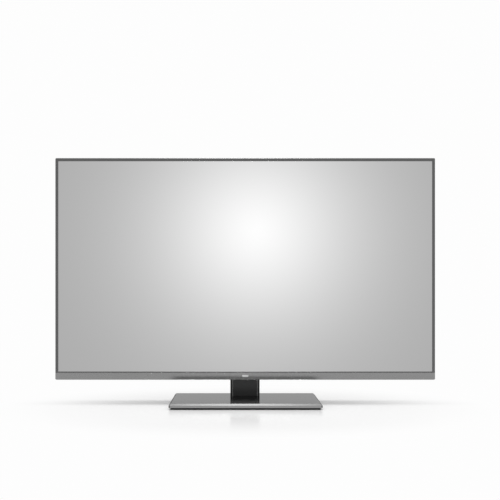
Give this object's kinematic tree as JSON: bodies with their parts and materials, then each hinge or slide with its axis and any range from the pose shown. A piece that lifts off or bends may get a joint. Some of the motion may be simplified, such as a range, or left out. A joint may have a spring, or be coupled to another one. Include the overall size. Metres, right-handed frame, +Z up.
{
  "type": "flat television on a swivel stand",
  "caption": "Flat television with a narrow dark frame and a silver strip, on a black neck and flat rectangular swivel base.",
  "frame": {"origin": "middle of the stand's footprint, on the surface that the television stands on", "axes": "+Z up, the screen faces -Y, +X to the viewer's right"},
  "size_m": [0.945, 0.21, 0.6132],
  "materials": {
    "frame_dark": "satin dark grey",
    "trim_silver": "fine brushed, satin",
    "window_pale": "smooth",
    "circuit_board": "solder mask",
    "screen": "smooth, showing a plain grey picture",
    "foam": "matte foam",
    "moulding_white": "matte",
    "film_white": "matte film",
    "acrylic": "clear acrylic",
    "lamp": "lamp package",
    "aluminium_plain": "mill finish",
    "sheet_steel": "galvanised sheet",
    "film_amber": "thin polyimide",
    "cable_white": "flat cable",
    "components": "matte mouldings and cans",
    "screw_steel": "zinc plated",
    "screw_black": "blackened",
    "socket_metal": "nickel plated shell",
    "socket_black": "moulded socket",
    "cover_black": "fine texture",
    "speaker_black": "matte",
    "stick_black": "matte",
    "neck_black": "gloss",
    "structural_steel": "plain steel",
    "bush_plastic": "low-friction moulding",
    "base_silver": "satin, polished edges",
    "tray_black": "matte",
    "rubber_foot": "matte"
  },
  "bodies": {
    "stand_base": {"base_plate": "base_silver", "base_weight": "structural_steel", "base_tray": "tray_black", "base_screws": "screw_steel", "rubber_feet": "rubber_foot", "swivel_bush": "bush_plastic", "swivel_washer": "bush_plastic", "friction_washer": "structural_steel"},
    "display": {"bezel_frame": "frame_dark", "bottom_trim": "trim_silver", "sensor_window": "window_pale", "sensor_board": "circuit_board", "screen_gasket": "foam", "lcd_cell": "screen", "panel_guide": "moulding_white", "prism_film": "film_white", "diffuser_film": "film_white", "light_guide": "acrylic", "reflector_film": "film_white", "led_strip": "aluminium_plain", "led_lamps": "lamp", "led_heat_sink": "aluminium_plain", "back_plate": "sheet_steel", "source_boards": "circuit_board", "driver_films": "film_amber", "flat_cables": "cable_white", "tcon_board": "circuit_board", "main_board": "circuit_board", "main_components": "components", "power_board": "circuit_board", "power_components": "components", "wifi_module": "circuit_board", "board_screws": "screw_steel", "hdmi_sockets": "socket_metal", "usb_sockets": "socket_metal", "lan_socket": "socket_metal", "optical_socket": "socket_black", "audio_jack": "socket_black", "aerial_sockets": "socket_metal", "mains_inlet": "socket_black", "speaker_boxes": "speaker_black", "speaker_drivers": "speaker_black", "back_cover": "cover_black", "cover_screws": "screw_black", "vesa_bosses": "screw_steel", "joystick_board": "circuit_board", "stand_bracket": "structural_steel", "bracket_screws": "screw_steel", "neck_shell": "neck_black", "neck_rear_cover": "neck_black", "neck_core": "structural_steel", "cable_clip": "neck_black", "stand_screws": "screw_steel", "swivel_hub": "structural_steel", "swivel_retainer": "structural_steel", "swivel_screws": "screw_steel"},
    "joystick_ring": {"joystick_ring": "stick_black"},
    "joystick_stem": {"joystick_stem": "stick_black"},
    "joystick_knob": {"joystick_knob": "stick_black"}
  },
  "joints": [
    {"name": "stand_swivel", "type": "hinge", "parent": "stand_base", "child": "display", "pos_m": [0, 0.0648, 0.0143], "axis": [0, 0, 1], "range_deg": [-20, 20]},
    {"name": "joystick_up_down", "type": "hinge", "parent": "display", "child": "joystick_ring", "pos_m": [0.4265, 0.0078, 0.1334], "axis": [1, 0, 0], "range_deg": [-5, 5], "stiffness_Nm_per_rad": 0.08},
    {"name": "joystick_left_right", "type": "hinge", "parent": "joystick_ring", "child": "joystick_stem", "pos_m": [0.4265, 0.0078, 0.1334], "axis": [0, 0, 1], "range_deg": [-5, 5], "stiffness_Nm_per_rad": 0.08},
    {"name": "joystick_press", "type": "slide", "parent": "joystick_stem", "child": "joystick_knob", "axis": [0, -1, 0], "range_m": [0, 0.0005], "stiffness_N_per_m": 4000}
  ]
}
